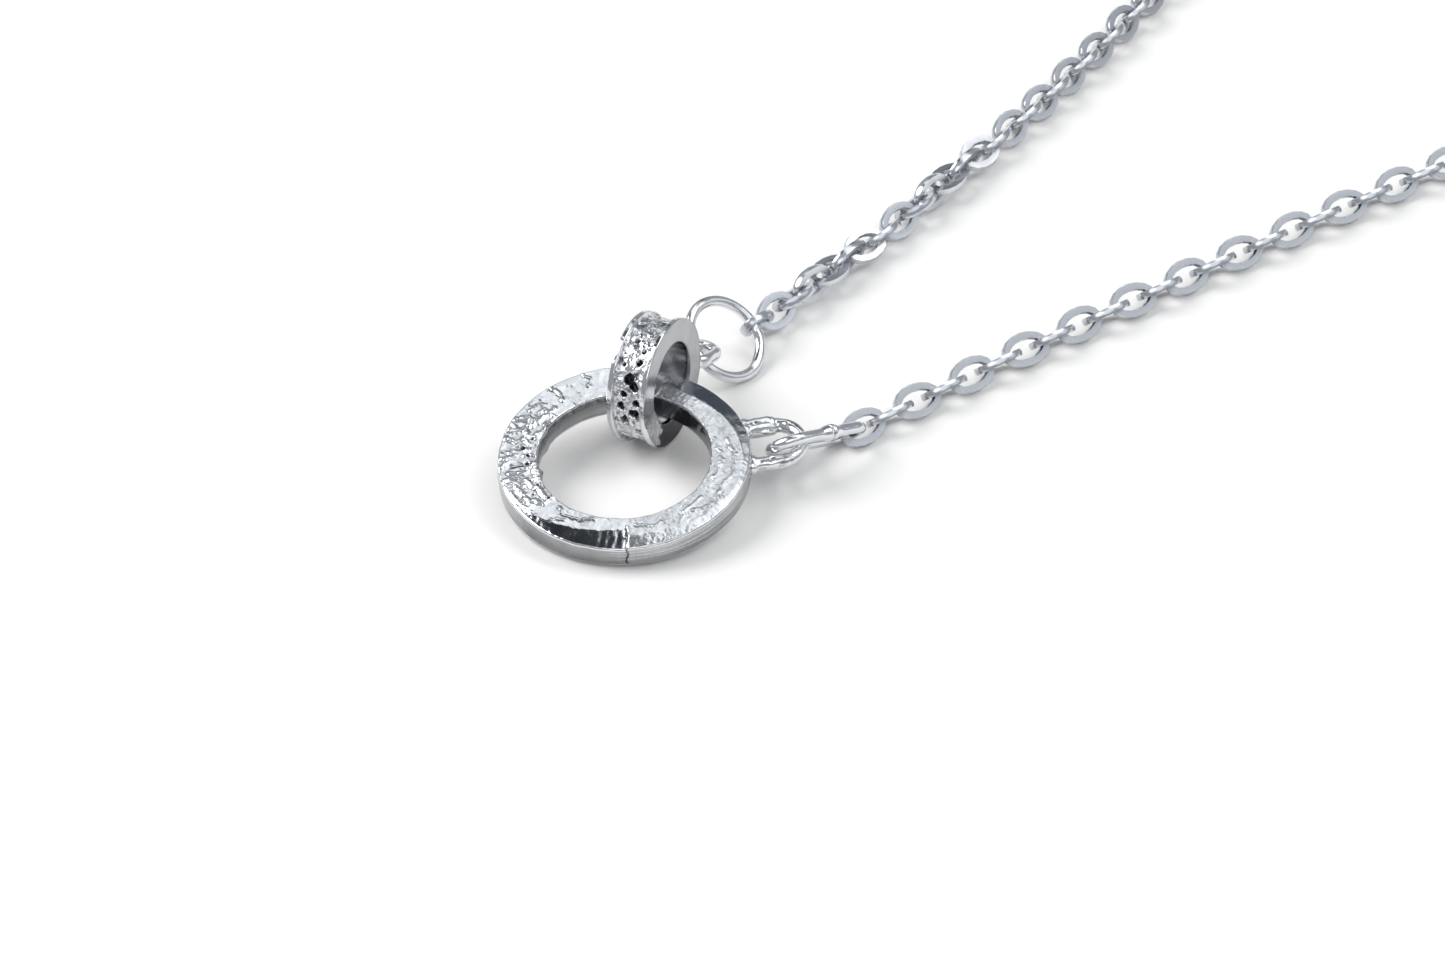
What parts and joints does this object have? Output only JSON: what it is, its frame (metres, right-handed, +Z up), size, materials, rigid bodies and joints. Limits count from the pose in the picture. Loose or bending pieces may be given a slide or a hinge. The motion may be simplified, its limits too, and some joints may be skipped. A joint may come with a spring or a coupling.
{
  "type": "circle pendant necklace",
  "caption": "Cast circle pendant passing through a small channelled band, on jump rings and a fine cable chain with a spring ring clasp, lying as a closed loop.",
  "frame": {"origin": "middle of the ground that the lying necklace covers, at the height of its lowest point", "axes": "+Y along the loop from the pendant to the clasp, +X to the right of that seen from above, +Z up from the surface it lies on"},
  "size_m": [0.0898, 0.2116, 0.0081],
  "materials": {
    "cast_metal": "bright polished cast silver with rough relief",
    "wire_metal": "smooth polished silver wire",
    "chain_metal": "polished silver links, slightly satin"
  },
  "bodies": {
    "root": {"circle_ring": "cast_metal", "channel_band": "cast_metal", "jump_ring": "wire_metal", "oval_jump_ring": "wire_metal", "chain_front": "chain_metal", "chain_back": "chain_metal", "clasp": "wire_metal", "clasp_ring": "wire_metal"}
  },
  "joints": []
}
